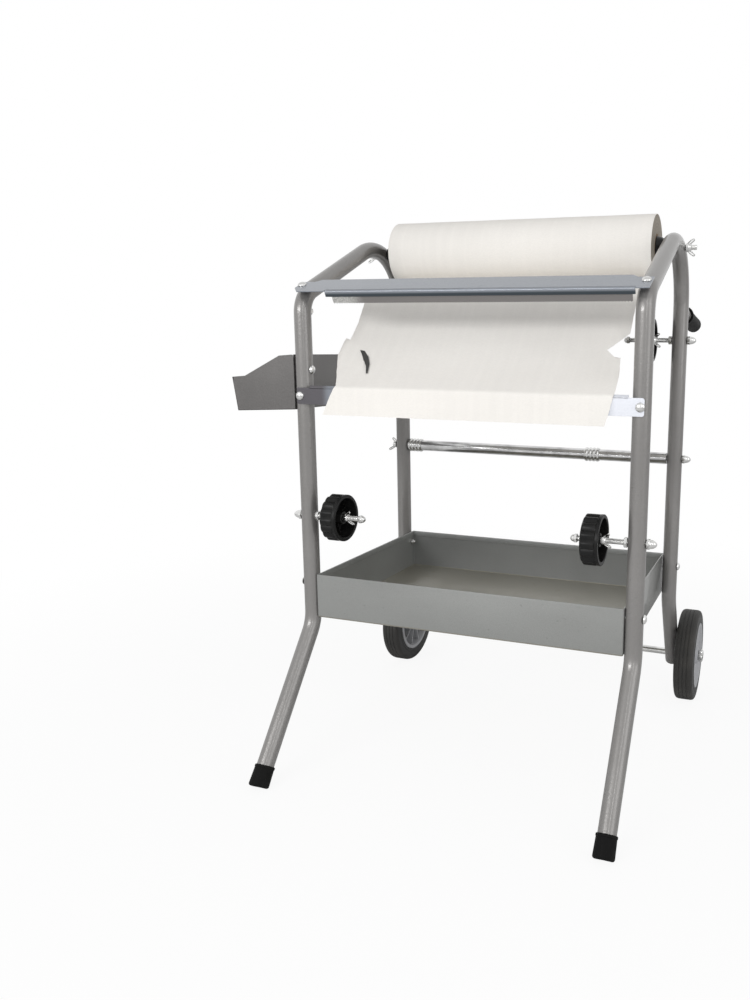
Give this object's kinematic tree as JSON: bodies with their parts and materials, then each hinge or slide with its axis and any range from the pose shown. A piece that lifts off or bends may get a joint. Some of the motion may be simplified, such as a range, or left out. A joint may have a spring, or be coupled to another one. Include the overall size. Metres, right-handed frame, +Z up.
{
  "type": "masking paper dispenser",
  "caption": "Two-wheeled bent-tube stand with a spindle-mounted masking paper roll, serrated cutter bar, tape hubs, roller bar, bottom tray and side tray.",
  "frame": {"origin": "centre of the bounding box's footprint, on the floor", "axes": "+X to the right seen from the front, +Y to the rear where the handles and wheels are, +Z up"},
  "size_m": [0.6868, 0.6444, 0.8328],
  "materials": {
    "frame_paint": "grey metallic powder coat",
    "bar_paint": "blue-grey metallic powder coat",
    "tray_paint": "grey metallic powder coat",
    "side_tray_paint": "dark grey powder coat",
    "blade_steel": "bare sheet",
    "bright_plate": "bright zinc or chrome plate",
    "black_plastic": "moulded, black",
    "black_rubber": "moulded, black",
    "tyre": "solid rubber, black",
    "grey_plastic": "moulded, grey",
    "paper": "matt, cream white",
    "cardboard": "matt, brown"
  },
  "bodies": {
    "stand": {"axle": "bright_plate", "axle_nut_left": "bright_plate", "axle_nut_right": "bright_plate", "bottom_tray": "tray_paint", "cutter_bar": "bar_paint", "cutter_blade": "blade_steel", "cutter_bolt_left": "bright_plate", "cutter_bolt_right": "bright_plate", "foot_left": "black_rubber", "foot_right": "black_rubber", "frame_left": "frame_paint", "frame_right": "frame_paint", "grip_left": "black_rubber", "grip_right": "black_rubber", "handle_tube_left": "frame_paint", "handle_tube_right": "frame_paint", "left_tape_cap_nut": "bright_plate", "left_tape_end_nut": "bright_plate", "left_tape_spindle": "bright_plate", "lower_bar": "bar_paint", "lower_bar_bolt_left": "bright_plate", "lower_bar_bolt_right": "bright_plate", "paper_web": "paper", "right_tape_cap_nut": "bright_plate", "right_tape_end_nut": "bright_plate", "right_tape_spindle": "bright_plate", "roll_spindle": "bright_plate", "roller_cap_bolt": "bright_plate", "side_tray": "side_tray_paint", "side_tray_bolt_front": "bright_plate", "side_tray_bolt_rear": "bright_plate", "tray_bolt_front_left": "bright_plate", "tray_bolt_front_right": "bright_plate", "tray_bolt_rear_left": "bright_plate", "tray_bolt_rear_right": "bright_plate", "upper_tape_cap_nut": "bright_plate", "upper_tape_end_nut": "bright_plate", "upper_tape_spindle": "bright_plate"},
    "wheel_left": {"tyre_left": "tyre", "wheel_disc_left": "grey_plastic"},
    "wheel_right": {"tyre_right": "tyre", "wheel_disc_right": "grey_plastic"},
    "roll": {"paper_roll": "paper", "roll_core": "cardboard", "core_cone_left": "black_plastic", "core_cone_right": "black_plastic"},
    "roll_wing_left": {"roll_wing_nut_left": "bright_plate"},
    "roll_wing_right": {"roll_wing_nut_right": "bright_plate"},
    "roller": {"roller_bar": "bright_plate"},
    "left_collar": {"roller_collar_left": "bright_plate"},
    "right_collar": {"roller_collar_right": "bright_plate"},
    "roller_wing": {"roller_wing_bolt": "bright_plate"},
    "left_hub": {"left_tape_hub": "black_plastic"},
    "right_hub": {"right_tape_hub": "black_plastic"},
    "upper_hub": {"upper_tape_hub": "black_plastic"},
    "left_hub_wing": {"left_tape_wing_nut": "bright_plate"},
    "right_hub_wing": {"right_tape_wing_nut": "bright_plate"},
    "upper_hub_wing": {"upper_tape_wing_nut": "bright_plate"}
  },
  "joints": [
    {"name": "wheel_left_turn", "type": "hinge", "parent": "stand", "child": "wheel_left", "pos_m": [-0.2504, 0.21835, 0.081], "axis": [1, 0, 0], "continuous": true},
    {"name": "wheel_right_turn", "type": "hinge", "parent": "stand", "child": "wheel_right", "pos_m": [0.3179, 0.21835, 0.081], "axis": [1, 0, 0], "continuous": true},
    {"name": "roll_turn", "type": "hinge", "parent": "stand", "child": "roll", "pos_m": [0.03625, 0.08625, 0.78185], "axis": [1, 0, 0], "continuous": true},
    {"name": "roll_wing_left_turn", "type": "hinge", "parent": "stand", "child": "roll_wing_left", "pos_m": [-0.2324, 0.08625, 0.78185], "axis": [1, 0, 0], "continuous": true},
    {"name": "roll_wing_right_turn", "type": "hinge", "parent": "stand", "child": "roll_wing_right", "pos_m": [0.2999, 0.08625, 0.78185], "axis": [1, 0, 0], "continuous": true},
    {"name": "roller_turn", "type": "hinge", "parent": "stand", "child": "roller", "pos_m": [0.03375, 0.14965, 0.4475], "axis": [1, 0, 0], "continuous": true},
    {"name": "roller_wing_turn", "type": "hinge", "parent": "stand", "child": "roller_wing", "pos_m": [-0.2324, 0.14965, 0.4475], "axis": [1, 0, 0], "continuous": true},
    {"name": "left_hub_turn", "type": "hinge", "parent": "stand", "child": "left_hub", "pos_m": [-0.1691, -0.15965, 0.372], "axis": [1, 0, 0], "continuous": true},
    {"name": "right_hub_turn", "type": "hinge", "parent": "stand", "child": "right_hub", "pos_m": [0.2276, -0.15965, 0.372], "axis": [1, 0, 0], "continuous": true},
    {"name": "upper_hub_turn", "type": "hinge", "parent": "stand", "child": "upper_hub", "pos_m": [0.2321, 0.14965, 0.643], "axis": [1, 0, 0], "continuous": true},
    {"name": "left_hub_wing_turn", "type": "hinge", "parent": "stand", "child": "left_hub_wing", "pos_m": [-0.1598, -0.15965, 0.372], "axis": [1, 0, 0], "continuous": true},
    {"name": "right_hub_wing_turn", "type": "hinge", "parent": "stand", "child": "right_hub_wing", "pos_m": [0.2369, -0.15965, 0.372], "axis": [1, 0, 0], "continuous": true},
    {"name": "upper_hub_wing_turn", "type": "hinge", "parent": "stand", "child": "upper_hub_wing", "pos_m": [0.2414, 0.14965, 0.643], "axis": [1, 0, 0], "continuous": true},
    {"name": "left_collar_slide", "type": "slide", "parent": "roller", "child": "left_collar", "axis": [1, 0, 0], "range_m": [0, 0.15]},
    {"name": "right_collar_slide", "type": "slide", "parent": "roller", "child": "right_collar", "axis": [1, 0, 0], "range_m": [-0.15, 0.095]}
  ]
}
